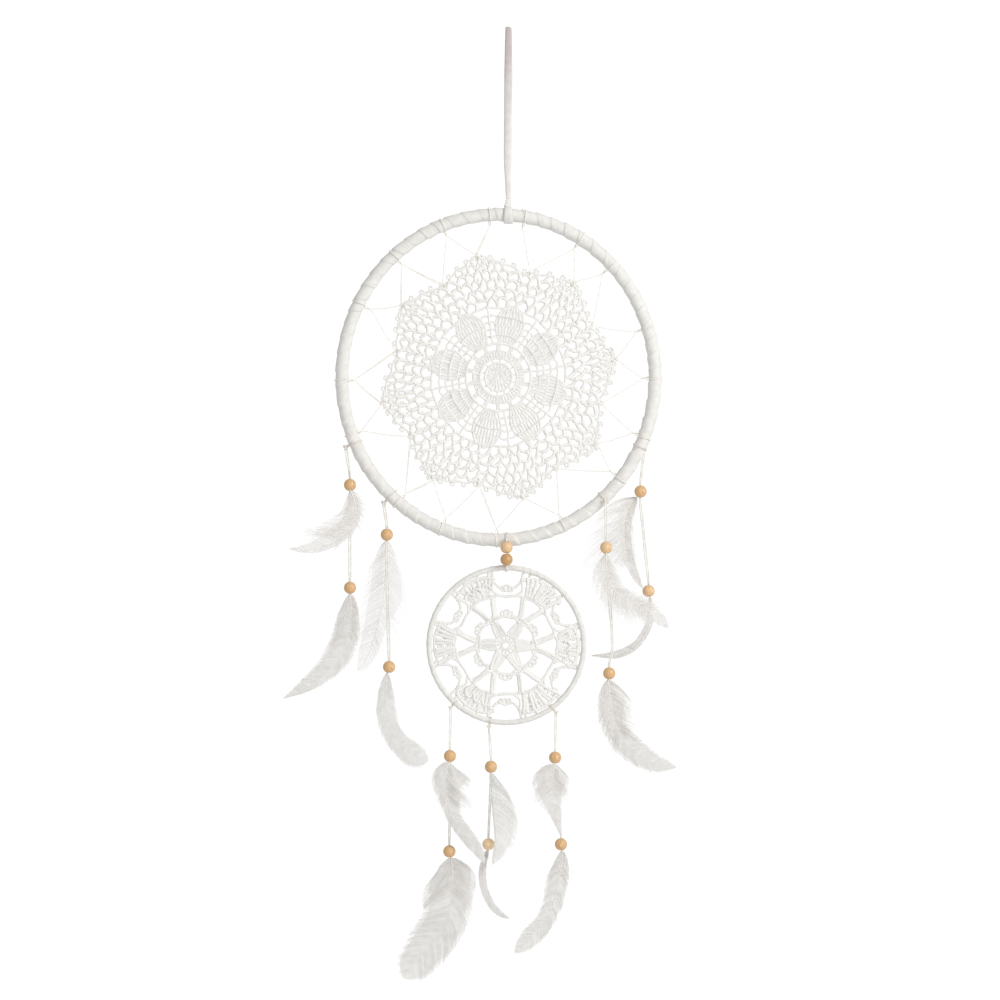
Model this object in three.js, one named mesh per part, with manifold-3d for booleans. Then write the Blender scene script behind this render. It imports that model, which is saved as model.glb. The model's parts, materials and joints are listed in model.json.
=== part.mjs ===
// A hanging dream catcher: a large and a small wrapped hoop, each with a crochet doily in it, a hanging
// lace, two beads between the hoops, and seven strands of cord, wooden beads and feathers.
// Millimetres, +Z up. The face looks along -Y. The origin is the inside top of the hanging loop.

import * as THREE from 'three';
import { mergeVertices } from 'three/addons/utils/BufferGeometryUtils.js';
import Module from 'manifold-3d';

const wasm = await Module();
wasm.setup();

const DEGREE = Math.PI / 180;
const GAP = 0.35; // clearance between pieces that touch on the real thing

// Hoops: centre of the ring, centreline half axes, core radius, bore and outer radius of the wrap,
// the angle of the wrap's open seam and the number of steps round the ring.
const LARGE = {
  x: -6.6, y: 0, z: -230.5, rx: 103.6, rz: 107.6,
  core: 3, bore: 3.7, wrap: 4.4, seam: 86.4, steps: 48,
};
const SMALL = {
  x: -1.4, y: -3.7, z: -407.6, rx: 51.1, rz: 51.1,
  core: 0.9, bore: 1.5, wrap: 1.8, seam: 90, steps: 36,
};
const SEAM_GAP = 0.6; // half the opening of a wrap's seam
const TUBE_SIDES = 8;

// Hanging lace: a flat strip folded over its hook, tied round the large hoop.
const LACE_WIDTH = 5.3;
const LACE_THICK = 1.3;
const EYE_RADIUS = 3.2;
const EYE_LENGTH = 24;
const LACE_END = -111;
const HITCH_TOP = -111.6;
const HITCH_CLEAR = 0.65; // room for the hoop's slope inside the turns of lace
const HITCH_KNOT = { width: 5.9, depth: 4.4, overlap: 0.9 };
const EYE_SHOULDER = 6; // straight side of the loop below its round top
const LEG_SPLICE = 4; // height over which the two legs come together

// Doilies.
const DOILY_THICK = 1.2;
const STAR = { points: 8, tip: 82, valley: 73, phase: 9, samples: 48 };
const LACE_RING = 47.4; // outer radius of the small doily

// Lacing thread, which goes round the large hoop at each station.
const THREAD = 0.4;
const STATIONS = [
  93.3, 110.9, 131.7, 153, 181, 200.5, 230.1, 248.7, 269.3, 294.7, 321.2, 338.4, 359.6, 377.5, 403.5, 418.3, 440.3,
];
const CATCHES = [
  100.5, 122, 144.5, 166, 192, 212.7, 236, 259.5, 282.4, 303.3, 327, 346, 368.5, 387.5, 410.5, 433,
];
const CATCH_HALF = 0.6; // half the angle that the thread spans where the lacing catches the lace
const WRAP_SPREAD = 1.3; // half the width of its turn round the hoop
const WRAP_TURN = [40, 90, 135, 180, 225, 270, 320];

// Beads and cords.
const BEAD = 4;
const BEAD_BORE = 1.45;
const CORD = 0.8;
const CORD_STEP = 4.8;
const CORD_SIDES = 8;
const LINK_THREAD = 0.5;
const LINK_STEP = 1.8;
const FEATHER_THICK = 0.6;
const QUILL_OFFSET = 2; // from the cord's axis to the quill beside it

// Knot of a strand round its hoop: a band of thread and the lump that the cord leaves.
const KNOT_BAND = 1.1;
const KNOT_WIDTH = 2.2;
const KNOT_LUMP = 1.8;
const KNOT_CLEAR = 0.2;

// Beads of the link between the hoops.
const LINK = { x: -1.3, y: -8.9, upper: -342.8, lower: -351.1 };

// Feathers: rows of x, z, width to the left and width to the right, from the quill down to the tip,
// measured from the middle of the bead that holds them.
const FEATHERS = {
  a_upper: [
    [0, -5, 0.6, 0.6], [2.5, -14, 5, 2.5], [2, -26, 9, 2.5], [-10, -38, 9, 2], [-26, -43, 5, 1.5],
    [-40, -42, 0.4, 0.4],
  ],
  a_lower: [
    [0, -5, 0.6, 0.6], [-1, -20, 9, 6.5], [-5, -41, 9, 9], [-17, -57, 8, 7], [-30, -67, 5, 4],
    [-43, -73, 0.4, 0.4],
  ],
  b_upper: [
    [0, -5, 0.6, 0.6], [-1, -28, 12, 10], [-5, -54, 11, 14], [-10, -74, 6, 6], [-15, -90, 0.4, 0.4],
  ],
  b_lower: [
    [-1, -5, 0.6, 0.6], [-2, -21, 6, 6], [1, -41, 7, 9], [10, -53, 6, 8], [20, -58, 4, 5],
    [26, -60, 0.4, 0.4],
  ],
  c_upper: [
    [0, -5, 0.6, 0.6], [1, -18, 7, 8], [5, -28, 9, 9], [14, -35, 9, 8], [26, -40, 8, 5],
    [34, -46, 4, 4], [40, -52, 0.4, 0.4],
  ],
  c_lower: [
    [-1, -5, 0.6, 0.6], [1, -20, 9, 13], [4, -34, 10, 9], [13, -48, 8, 9], [27, -58, 6, 6],
    [43, -61, 0.4, 0.4],
  ],
  d_upper: [
    [-2, -5, 0.6, 0.6], [-9, -17, 13, 4], [-10, -28, 21, 4], [-9, -38, 8, 4], [-7, -48, 3, 4],
    [-2, -60, 0.4, 0.4],
  ],
  d_lower: [
    [1, -5, 0.6, 0.6], [0, -23, 2.5, 2.5], [-8, -36, 2.5, 2.5], [-21, -43, 3, 2],
    [-38, -43, 0.4, 0.4],
  ],
  e_upper: [
    [0, -5, 0.6, 0.6], [-3, -15, 8, 14], [-2, -27, 6, 10], [2, -40, 3.5, 5], [9, -50, 3, 3.5],
    [15, -57, 2.5, 2.5], [19, -63, 0.4, 0.4],
  ],
  e_lower: [
    [1, -5, 0.6, 0.6], [2, -22, 16, 16], [0, -39, 18, 14], [-6, -55, 15, 14], [-16, -69, 12, 10],
    [-29, -80, 3, 3],
  ],
  f_upper: [
    [0, -5, 0.6, 0.6], [-1, -20, 1, 13], [-1, -35, 1, 18], [-1, -48, 1, 17], [0, -58, 1, 8],
    [1, -63, 0.4, 0.4],
  ],
  f_lower: [
    [0, -5, 0.6, 0.6], [-4, -18, 2.5, 2.5], [-3, -29, 2.5, 2.5], [2, -40, 2.5, 2.5], [8, -46, 2, 2],
    [14, -49, 0.4, 0.4],
  ],
  g_upper: [
    [0, -5, 0.6, 0.6], [-1, -16, 13, 10], [-1, -28, 8, 7], [1, -38, 3.5, 3.5], [2, -48, 0.4, 0.4],
  ],
  g_lower: [
    [1, -5, 0.6, 0.6], [-1, -22, 8, 6], [-5, -39, 7, 6], [-11, -51, 5, 5], [-20, -61, 6, 6],
    [-31, -71, 1, 1],
  ],
};

// Strands: hoop, angle of the knot on it, turn of the knot to the front (-) or back (+) of the hoop, the
// upper bead from the knot, the lower bead from the upper one, a bend in between, the lean of the upper
// and the lower feather out of the plane (- to the front), and whether the lower half swings on its own.
const STRANDS = [
  {
    id: 'a', hoop: LARGE, angle: 203.9, turn: 0, tail: true,
    upper: [2.7, -25], lower: [0, -68], leans: [-0.12, -0.04],
  },
  {
    id: 'b', hoop: LARGE, angle: 226.7, turn: 0, tail: true,
    upper: [1.9, -21], lower: [1.5, -87.5], leans: [0.14, -0.04],
  },
  {
    id: 'c', hoop: LARGE, angle: 312, turn: -70, tail: true,
    upper: [0.2, -31], lower: [2, -83], bend: [4, -61], leans: [-0.14, -0.1],
  },
  {
    id: 'd', hoop: LARGE, angle: 334.6, turn: 60, tail: false,
    upper: [-2.5, -28], lower: [5.3, -66], leans: [0.14, 0.1],
  },
  {
    id: 'e', hoop: SMALL, angle: 228.3, turn: 0, tail: true,
    upper: [-0.5, -32], lower: [-0.4, -63], leans: [-0.12, 0.05],
  },
  {
    id: 'f', hoop: SMALL, angle: 258.1, turn: 0, tail: false,
    upper: [1.2, -26.3], lower: [-1.6, -51.2], leans: [-0.12, 0],
  },
  {
    id: 'g', hoop: SMALL, angle: 306.4, turn: 0, tail: true,
    upper: [-0.6, -29.8], lower: [3.9, -57.3], leans: [-0.12, -0.04],
  },
];

const finish = (color, roughness, metalness = 0) =>
  new THREE.MeshStandardMaterial({ color, roughness, metalness });
const SUEDE = finish(0xece5dd, 0.95);
const RIBBON = finish(0xd9d2d0, 0.8);
const COTTON = finish(0xf6f3ee, 0.95);
const CREAM = finish(0xeee3cf, 0.85);
const WOOD = finish(0xd6a866, 0.45);
const RATTAN = finish(0xc39b62, 0.7);
const STEEL = finish(0x9a9ea3, 0.35, 0.9);
const DOWN = finish(0xfafafa, 0.9);

const vector = (x, y, z) => new THREE.Vector3(x, y, z);

// A path whose steps fall exactly on its points.
class Route extends THREE.Curve {
  constructor(points) {
    super();
    this.points = points;
  }

  getPoint(t, target = new THREE.Vector3()) {
    const last = this.points.length - 1;
    const i = Math.min(Math.floor(t * last), last - 1);
    return target.lerpVectors(this.points[i], this.points[i + 1], t * last - i);
  }

  getUtoTmapping(u) {
    return u;
  }
}

function circle(radius, sides) {
  return Array.from({ length: sides }, (_, i) => {
    const a = (2 * Math.PI * i) / sides;
    return new THREE.Vector2(radius * Math.cos(a), radius * Math.sin(a));
  });
}

// A tube through the points, hollow where a bore is given, with flat ends.
function tube(points, radius, sides, bore = 0) {
  const section = new THREE.Shape(circle(radius, sides));
  if (bore > 0) section.holes.push(new THREE.Path(circle(bore, sides)));
  const extrudePath = new Route(points);
  return new THREE.ExtrudeGeometry(section, { extrudePath, steps: points.length - 1, bevelEnabled: false });
}

// Points a step apart on a smooth curve through the given ones.
function smooth(points, step) {
  const curve = new THREE.CatmullRomCurve3(points);
  return curve.getSpacedPoints(Math.max(2, Math.round(curve.getLength() / step)));
}

// A flat outline in the XZ plane, thickened along Y about the plane.
function plate(shape, thick) {
  return new THREE.ExtrudeGeometry(shape, { depth: thick, bevelEnabled: false })
    .rotateX(Math.PI / 2)
    .translate(0, thick / 2, 0);
}

function toSolid(geometry) {
  const bare = geometry.clone();
  bare.deleteAttribute('normal');
  bare.deleteAttribute('uv');
  const merged = mergeVertices(bare, 1e-4);
  const vertProperties = new Float32Array(merged.attributes.position.array);
  const triVerts = new Uint32Array(merged.index.array);
  return new wasm.Manifold(new wasm.Mesh({ numProp: 3, vertProperties, triVerts }));
}

// One geometry joined from several that overlap.
function join(...geometries) {
  const mesh = geometries.map(toSolid).reduce((sum, next) => sum.add(next)).getMesh();
  const joined = new THREE.BufferGeometry();
  joined.setAttribute('position', new THREE.BufferAttribute(new Float32Array(mesh.vertProperties), 3));
  joined.setIndex(new THREE.BufferAttribute(new Uint32Array(mesh.triVerts), 1));
  return joined;
}

// Where the tube of a hoop is at an angle, which way is outward in its plane and which way it runs,
// measured from the middle of the hoop.
function hoopAt(hoop, degrees) {
  const a = degrees * DEGREE;
  return {
    centre: vector(hoop.rx * Math.cos(a), 0, hoop.rz * Math.sin(a)),
    outward: vector(Math.cos(a) / hoop.rx, 0, Math.sin(a) / hoop.rz).normalize(),
    along: vector(-hoop.rx * Math.sin(a), 0, hoop.rz * Math.cos(a)).normalize(),
  };
}

// The solid ring inside a hoop.
function hoopCore(hoop) {
  const profile = circle(hoop.core, TUBE_SIDES).map((p) => p.add(new THREE.Vector2(hoop.rz, 0)));
  profile.push(profile[0].clone());
  const start = (90 - hoop.seam) * DEGREE;
  return new THREE.LatheGeometry(profile, hoop.steps, start).scale(hoop.rx / hoop.rz, 1, 1);
}

// The wound strip as one sleeve over the core, open at its seam.
function hoopWrap(hoop) {
  const half = SEAM_GAP / hoop.rz / DEGREE;
  const points = Array.from({ length: hoop.steps + 1 }, (_, i) =>
    hoopAt(hoop, hoop.seam + half + ((360 - 2 * half) * i) / hoop.steps).centre);
  return tube(points, hoop.wrap, TUBE_SIDES, hoop.bore);
}

// The star's edge: straight-sided points with a picot edge left to the finished lace.
function starRadius(degrees) {
  const pitch = 360 / STAR.points;
  const turn = (((degrees - STAR.phase) % pitch) + pitch) % pitch;
  const fromTip = Math.min(turn, pitch - turn) / (pitch / 2);
  return THREE.MathUtils.lerp(STAR.tip, STAR.valley, fromTip);
}

function largeDoily() {
  const squeeze = LARGE.rx / LARGE.rz;
  const outline = Array.from({ length: STAR.samples }, (_, i) => {
    const degrees = STAR.phase + (360 * i) / STAR.samples;
    const radius = starRadius(degrees);
    const a = degrees * DEGREE;
    return new THREE.Vector2(radius * Math.cos(a) * squeeze, radius * Math.sin(a));
  });
  return plate(new THREE.Shape(outline), DOILY_THICK);
}

// A window of the small doily between two radii, with its own half angle at each.
function laceWindow(middle, inner, innerHalf, outer, outerHalf) {
  const at = (radius, degrees) =>
    new THREE.Vector2(radius * Math.cos(degrees * DEGREE), radius * Math.sin(degrees * DEGREE));
  const corners = [-1, 0, 1].map((k) => at(outer, middle + k * outerHalf));
  corners.push(...[1, -1].map((k) => at(inner, middle + k * innerHalf)));
  return new THREE.Path(corners);
}

function smallDoily() {
  const shape = new THREE.Shape(circle(LACE_RING, SMALL.steps));
  shape.holes.push(new THREE.Path(circle(2.4, 6)));
  for (let k = 0; k < 6; k++) {
    const middle = 30 + 60 * k;
    shape.holes.push(laceWindow(middle, 8.5, 12, 17, 22));
    shape.holes.push(laceWindow(middle, 21.5, 18, 34.5, 17));
    shape.holes.push(laceWindow(middle, 38, 13, 45, 10));
  }
  return plate(shape, DOILY_THICK);
}

// The lacing: round the hoop's tube, in to the doily's edge and back, station by station, open at the top.
function lacing() {
  const reach = LARGE.wrap + GAP + 2 * THREAD;
  const squeeze = LARGE.rx / LARGE.rz;
  const points = [];
  STATIONS.forEach((station, i) => {
    for (const offset of i ? [-CATCH_HALF, CATCH_HALF] : []) {
      const degrees = CATCHES[i - 1] + offset;
      const radius = starRadius(degrees) + GAP + 2 * THREAD;
      const a = degrees * DEGREE;
      points.push(vector(radius * Math.cos(a) * squeeze, 0, radius * Math.sin(a)));
    }
    const { centre, outward, along } = hoopAt(LARGE, station);
    WRAP_TURN.forEach((turn, k) => {
      const point = centre.clone().addScaledVector(outward, -reach * Math.cos(turn * DEGREE));
      const shift = THREE.MathUtils.lerp(-WRAP_SPREAD, WRAP_SPREAD, k / (WRAP_TURN.length - 1));
      point.addScaledVector(along, shift);
      point.y = -reach * Math.sin(turn * DEGREE);
      points.push(point);
    });
  });
  return tube(points, THREAD, 4);
}

// The folded lace, seen from its edge: the eye at the top, the two legs together below it.
function hangerLace() {
  const outer = EYE_RADIUS + LACE_THICK;
  const legs = LACE_THICK * 1.02;
  const top = -EYE_RADIUS;
  const shape = new THREE.Shape();
  shape.moveTo(-legs, LACE_END);
  shape.lineTo(legs, LACE_END);
  shape.lineTo(legs, -EYE_LENGTH - LEG_SPLICE);
  shape.lineTo(outer, top - EYE_SHOULDER);
  shape.absarc(0, top, outer, 0, Math.PI, false);
  shape.lineTo(-outer, top - EYE_SHOULDER);
  shape.lineTo(-legs, -EYE_LENGTH - LEG_SPLICE);
  const eye = new THREE.Path();
  eye.moveTo(0, -EYE_LENGTH);
  eye.lineTo(EYE_RADIUS, top - EYE_SHOULDER);
  eye.absarc(0, top, EYE_RADIUS, 0, Math.PI, false);
  eye.lineTo(-EYE_RADIUS, top - EYE_SHOULDER);
  shape.holes.push(eye);
  const folded = { depth: LACE_WIDTH, bevelEnabled: false, curveSegments: 8 };
  const strip = new THREE.ExtrudeGeometry(shape, folded);
  const axes = new THREE.Matrix4().makeBasis(vector(0, 1, 0), vector(0, 0, 1), vector(1, 0, 0));
  return strip.translate(0, 0, -LACE_WIDTH / 2).applyMatrix4(axes);
}

// A band round a hoop's tube, whose own axis is Y before it is turned along the tube.
function band(inner, thick, width, sides) {
  const corners = [[0, -1], [thick, -1], [thick, 1], [0, 1], [0, -1]];
  const profile = corners.map(([r, h]) => new THREE.Vector2(inner + r, (h * width) / 2));
  return new THREE.LatheGeometry(profile, sides);
}

// The turns of lace round the top of the large hoop, with the knot that the two legs run into.
function hangerHitch() {
  const tubeTop = LARGE.z + LARGE.rz * Math.sin(LARGE.seam * DEGREE);
  const inner = LARGE.wrap + HITCH_CLEAR;
  const turns = band(inner, LACE_THICK, LACE_WIDTH, 20).rotateZ(Math.PI / 2).translate(0, 0, tubeTop);
  const knotHeight = HITCH_TOP - (tubeTop + inner + LACE_THICK - HITCH_KNOT.overlap);
  const knot = new THREE.BoxGeometry(HITCH_KNOT.width, HITCH_KNOT.depth, knotHeight);
  return join(turns, knot.translate(0, 0, HITCH_TOP - knotHeight / 2));
}

// A thread ring about X, of the given radius, centred at a height and depth.
function threadRing(radius, x, y, z) {
  const profile = circle(LINK_THREAD, 6).map((p) => p.add(new THREE.Vector2(radius, 0)));
  profile.push(profile[0].clone());
  return new THREE.LatheGeometry(profile, 16).rotateZ(Math.PI / 2).translate(x, y, z);
}

function linkCordUpper() {
  const z = LARGE.z - LARGE.rz;
  const radius = LARGE.wrap + GAP + 2 * LINK_THREAD;
  const stem = smooth([
    vector(LINK.x, -4.6, z + 2.6), vector(LINK.x, -7, z + 4),
    vector(LINK.x, -8.7, z + 2.8), vector(LINK.x, LINK.y, z),
    vector(LINK.x, LINK.y, LINK.upper), vector(LINK.x, LINK.y, LINK.upper - BEAD + 0.3),
  ], LINK_STEP);
  return join(threadRing(radius, LINK.x, LARGE.y, z), tube(stem, LINK_THREAD, 6));
}

function linkCordLower() {
  const z = SMALL.z + SMALL.rz;
  const radius = SMALL.wrap + GAP + LINK_THREAD + 0.1;
  const stem = smooth([
    vector(LINK.x, LINK.y, LINK.lower + BEAD - 0.4), vector(LINK.x, LINK.y, LINK.lower - BEAD),
    vector(LINK.x, -8.3, z - 0.6), vector(LINK.x, SMALL.y - radius + 0.1, z - 1.6),
  ], LINK_STEP);
  return join(threadRing(radius, LINK.x, SMALL.y, z), tube(stem, LINK_THREAD, 6));
}

function bead() {
  const open = Math.asin(BEAD_BORE / BEAD);
  const arcs = 6;
  const profile = Array.from({ length: arcs + 1 }, (_, i) => {
    const a = -Math.PI / 2 + open + ((Math.PI - 2 * open) * i) / arcs;
    return new THREE.Vector2(BEAD * Math.cos(a), BEAD * Math.sin(a));
  });
  profile.push(profile[0].clone());
  return new THREE.LatheGeometry(profile, 10).rotateX(Math.PI / 2);
}

// A feather's blade, leaning out of the plane by the given slope, standing clear of the cord beside it.
function feather(rows, lean, clear) {
  const spine = new THREE.CatmullRomCurve3(rows.map(([x, z]) => vector(x, z, 0)));
  const samples = 2 * (rows.length - 1);
  const left = [];
  const right = [];
  for (let i = 0; i <= samples; i++) {
    const t = i / samples;
    const row = Math.min(Math.floor(t * (rows.length - 1)), rows.length - 2);
    const blend = t * (rows.length - 1) - row;
    const middle = spine.getPoint(t);
    const run = spine.getTangent(t);
    const widthLeft = THREE.MathUtils.lerp(rows[row][2], rows[row + 1][2], blend);
    const widthRight = THREE.MathUtils.lerp(rows[row][3], rows[row + 1][3], blend);
    left.push(new THREE.Vector2(middle.x + run.y * widthLeft, middle.y - run.x * widthLeft));
    right.push(new THREE.Vector2(middle.x - run.y * widthRight, middle.y + run.x * widthRight));
  }
  const blade = plate(new THREE.Shape([...left, ...right.reverse()]), FEATHER_THICK);
  const side = Math.sign(lean);
  const shear = new THREE.Matrix4().makeShear(0, 0, 0, 0, 0, -Math.abs(lean) * side);
  return blade.applyMatrix4(shear).translate(0, clear * side, 0);
}

function mesh(name, geometry, material) {
  const piece = new THREE.Mesh(geometry, material);
  piece.name = name;
  return piece;
}

// Where a strand's cord leaves the hoop, from the middle of the hoop.
function knotPoint(strand, distance) {
  const { centre, outward } = hoopAt(strand.hoop, strand.angle);
  const turn = strand.turn * DEGREE;
  return centre.clone()
    .addScaledVector(outward, distance * Math.cos(turn))
    .add(vector(0, distance * Math.sin(turn), 0));
}

const lumpDistance = (hoop) => hoop.wrap + GAP + KNOT_LUMP + KNOT_CLEAR;

function knot(strand) {
  const { centre, along } = hoopAt(strand.hoop, strand.angle);
  const turns = band(strand.hoop.wrap + GAP, KNOT_BAND, KNOT_WIDTH, 12)
    .applyQuaternion(new THREE.Quaternion().setFromUnitVectors(vector(0, 1, 0), along))
    .translate(centre.x, centre.y, centre.z);
  const lump = new THREE.SphereGeometry(KNOT_LUMP, 8, 6);
  return join(turns, lump.translate(...knotPoint(strand, lumpDistance(strand.hoop))));
}

// The cord, beads and feathers of one strand, from its knot down.
function strandGroup(strand) {
  const name = `strand_${strand.id}`;
  const group = new THREE.Group();
  const start = knotPoint(strand, lumpDistance(strand.hoop));
  group.position.set(strand.hoop.x + start.x, strand.hoop.y + start.y, strand.hoop.z + start.z);

  const top = vector(0, 0, -KNOT_LUMP - 0.5);
  const upper = vector(strand.upper[0], 0, strand.upper[1]);
  const lower = upper.clone().add(vector(strand.lower[0], 0, strand.lower[1]));
  const below = (point, distance) => vector(point.x, 0, point.z - distance);
  const bends = strand.bend ? [upper.clone().add(vector(strand.bend[0], 0, strand.bend[1]))] : [];
  const first = [top, below(upper, -6), below(upper, 3.8)];
  const second = [below(upper, 4.6), below(upper, 8), ...bends, below(lower, -6), below(lower, 3.8)];
  if (strand.tail) {
    group.add(mesh(`${name}_cord_upper`, tube(smooth(first, CORD_STEP), CORD, CORD_SIDES), CREAM));
    group.add(mesh(`${name}_cord_lower`, tube(smooth(second, CORD_STEP), CORD, CORD_SIDES), CREAM));
  } else {
    const whole = [...first.slice(0, 2), ...second.slice(1)];
    group.add(mesh(`${name}_cord`, tube(smooth(whole, CORD_STEP), CORD, CORD_SIDES), CREAM));
  }

  for (const [level, point, clear] of [['upper', upper, QUILL_OFFSET], ['lower', lower, 0]]) {
    const ball = mesh(`${name}_bead_${level}`, bead(), WOOD);
    ball.position.copy(point);
    const lean = strand.leans[level === 'upper' ? 0 : 1];
    const blade = feather(FEATHERS[`${strand.id}_${level}`], lean, clear);
    const vane = mesh(`${name}_feather_${level}`, blade, DOWN);
    vane.position.copy(point);
    group.add(ball, vane);
  }
  return group;
}

function hoopGroup(label, hoop, core, extras) {
  const group = new THREE.Group();
  group.position.set(hoop.x, hoop.y, hoop.z);
  group.add(mesh(`${label}_hoop_core`, hoopCore(hoop), core));
  group.add(mesh(`${label}_hoop_wrap`, hoopWrap(hoop), SUEDE), ...extras);
  for (const strand of STRANDS.filter((s) => s.hoop === hoop)) {
    group.add(mesh(`strand_${strand.id}_knot`, knot(strand), CREAM));
  }
  return group;
}

function linkBead(name, z) {
  const ball = mesh(name, bead(), WOOD);
  ball.position.set(LINK.x, LINK.y, z);
  return ball;
}

const catcher = new THREE.Group();
catcher.add(mesh('hanger_lace', hangerLace(), RIBBON), mesh('hanger_hitch', hangerHitch(), RIBBON));
catcher.add(hoopGroup('large', LARGE, RATTAN, [
  mesh('large_doily', largeDoily(), COTTON),
  mesh('lacing_thread', lacing(), CREAM),
]));
catcher.add(hoopGroup('small', SMALL, STEEL, [mesh('small_doily', smallDoily(), COTTON)]));
catcher.add(mesh('link_cord_upper', linkCordUpper(), CREAM), mesh('link_cord_lower', linkCordLower(), CREAM));
catcher.add(linkBead('link_bead_upper', LINK.upper), linkBead('link_bead_lower', LINK.lower));
catcher.add(...STRANDS.map(strandGroup));

export default catcher;
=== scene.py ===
"""A hanging dream catcher, dressed on its CAD frame: suede-wound hoops, crochet doilies, lacing,
cords with wooden beads, and white feathers. Metres, in the row frame; lengths below are in millimetres
times MM where that reads better."""

import json
import math

import bpy
import numpy as np
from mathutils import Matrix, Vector

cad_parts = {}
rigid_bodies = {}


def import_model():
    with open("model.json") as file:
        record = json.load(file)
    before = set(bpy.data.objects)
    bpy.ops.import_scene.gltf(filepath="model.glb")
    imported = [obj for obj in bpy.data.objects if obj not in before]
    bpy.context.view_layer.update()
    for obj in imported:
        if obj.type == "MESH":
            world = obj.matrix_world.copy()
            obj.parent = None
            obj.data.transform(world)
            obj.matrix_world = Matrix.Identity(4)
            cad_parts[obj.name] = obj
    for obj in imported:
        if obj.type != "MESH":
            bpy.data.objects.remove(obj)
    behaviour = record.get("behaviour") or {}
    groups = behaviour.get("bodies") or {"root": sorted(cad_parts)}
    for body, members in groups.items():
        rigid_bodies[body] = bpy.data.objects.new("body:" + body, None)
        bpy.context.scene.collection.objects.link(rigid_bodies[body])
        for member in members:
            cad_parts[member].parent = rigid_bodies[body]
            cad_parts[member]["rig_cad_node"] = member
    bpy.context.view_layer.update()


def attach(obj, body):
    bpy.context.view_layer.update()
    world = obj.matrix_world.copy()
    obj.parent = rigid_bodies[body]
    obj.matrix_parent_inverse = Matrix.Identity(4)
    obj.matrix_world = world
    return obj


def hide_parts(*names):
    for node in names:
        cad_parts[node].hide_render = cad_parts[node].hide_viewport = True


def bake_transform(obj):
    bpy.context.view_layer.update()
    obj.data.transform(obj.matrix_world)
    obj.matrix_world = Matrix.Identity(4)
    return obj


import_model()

MM = 0.001
RIGHT = np.array([1.0, 0.0, 0.0])
BACK = np.array([0.0, 1.0, 0.0])
UP = np.array([0.0, 0.0, 1.0])
DEGREE = math.pi / 180
TAU = 2 * math.pi
rng = np.random.default_rng(11)

# Hoops, as in the CAD: centre, half axes of the centreline and radius of the wound tube.
LARGE = {"at": np.array([-6.6, 0, -230.5]) * MM, "rx": 103.6 * MM, "rz": 107.6 * MM, "tube": 4.4 * MM}
SMALL = {"at": np.array([-1.4, -3.7, -407.6]) * MM, "rx": 51.1 * MM, "rz": 51.1 * MM, "tube": 1.8 * MM}

# The view: what it shows across, its middle, and how far away the camera stands.
VIEW_WIDTH = 661.5 * MM
VIEW_CENTRE = Vector((-5.6 * MM, 0, -311.7 * MM))
CAMERA_AWAY = 3.0
SENSOR = 36
FLOOR_HEIGHT = -0.82


# ---- lines

def unit(v):
    return v / np.maximum(np.linalg.norm(v, axis=-1, keepdims=True), 1e-12)


def xyz(x, y, z):
    return np.stack([x, y, z], axis=-1)


def lengths(line):
    return np.concatenate([[0], np.cumsum(np.linalg.norm(np.diff(line, axis=0), axis=1))])


def spaced(line, step):
    """The line again, with points about a step apart."""
    along = lengths(line)
    at = np.linspace(0, along[-1], max(3, math.ceil(along[-1] / step) + 1))
    return np.stack([np.interp(at, along, line[:, k]) for k in range(3)], axis=1)


def smooth(points, step, closed=False):
    """Points a step apart on a curve through the given ones."""
    p = np.asarray(points, float)
    if closed:
        p = np.vstack([p[-1], p, p[0], p[1]])
    else:
        p = np.vstack([2 * p[0] - p[1], p, 2 * p[-1] - p[-2]])
    a, b, c, d = (x[:, None] for x in (p[:-3], p[1:-2], p[2:-1], p[3:]))
    t = np.linspace(0, 1, 9)[:-1][None, :, None]
    curve = 0.5 * (2 * b + (c - a) * t + (2 * a - 5 * b + 4 * c - d) * t**2 + (3 * b - a - 3 * c + d) * t**3)
    return spaced(np.vstack([curve.reshape(-1, 3), p[-2]]), step)


def frames(line, up=None):
    """The directions along a line and two across it; up keeps one of them level."""
    tangent = unit(np.gradient(line, axis=0))
    if up is not None:
        side = unit(np.cross(up, tangent))
        return tangent, side, np.cross(tangent, side)
    side = np.zeros_like(tangent)
    side[0] = unit(np.cross(tangent[0], [0.3, 0.2, 0.93]))
    for i in range(1, len(tangent)):
        side[i] = unit(side[i - 1] - tangent[i] * (side[i - 1] @ tangent[i]))
    return tangent, side, np.cross(tangent, side)


def wander(n, knots, amount):
    """A smooth random series of n values."""
    return np.interp(np.linspace(0, 1, n), np.linspace(0, 1, knots), rng.normal(0, amount, knots))


def hoop_line(hoop, degrees):
    a = np.asarray(degrees) * DEGREE
    return hoop["at"] + xyz(hoop["rx"] * np.cos(a), 0 * a, hoop["rz"] * np.sin(a))


def hoop_axes(hoop, degrees):
    """(outward, along) at an angle round a hoop."""
    a = np.asarray(degrees) * DEGREE
    outward = unit(xyz(np.cos(a) / hoop["rx"], 0 * a, np.sin(a) / hoop["rz"]))
    return outward, unit(xyz(-hoop["rx"] * np.sin(a), 0 * a, hoop["rz"] * np.cos(a)))


def round_line(centre, radius, turns, first, second=BACK):
    """Points round a line, from one direction across it towards another."""
    return centre + radius * (np.cos(turns)[:, None] * first + np.sin(turns)[:, None] * second)


# ---- surfaces

def add_object(name, data):
    thing = bpy.data.objects.new(name, data)
    bpy.context.scene.collection.objects.link(thing)
    return thing


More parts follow.
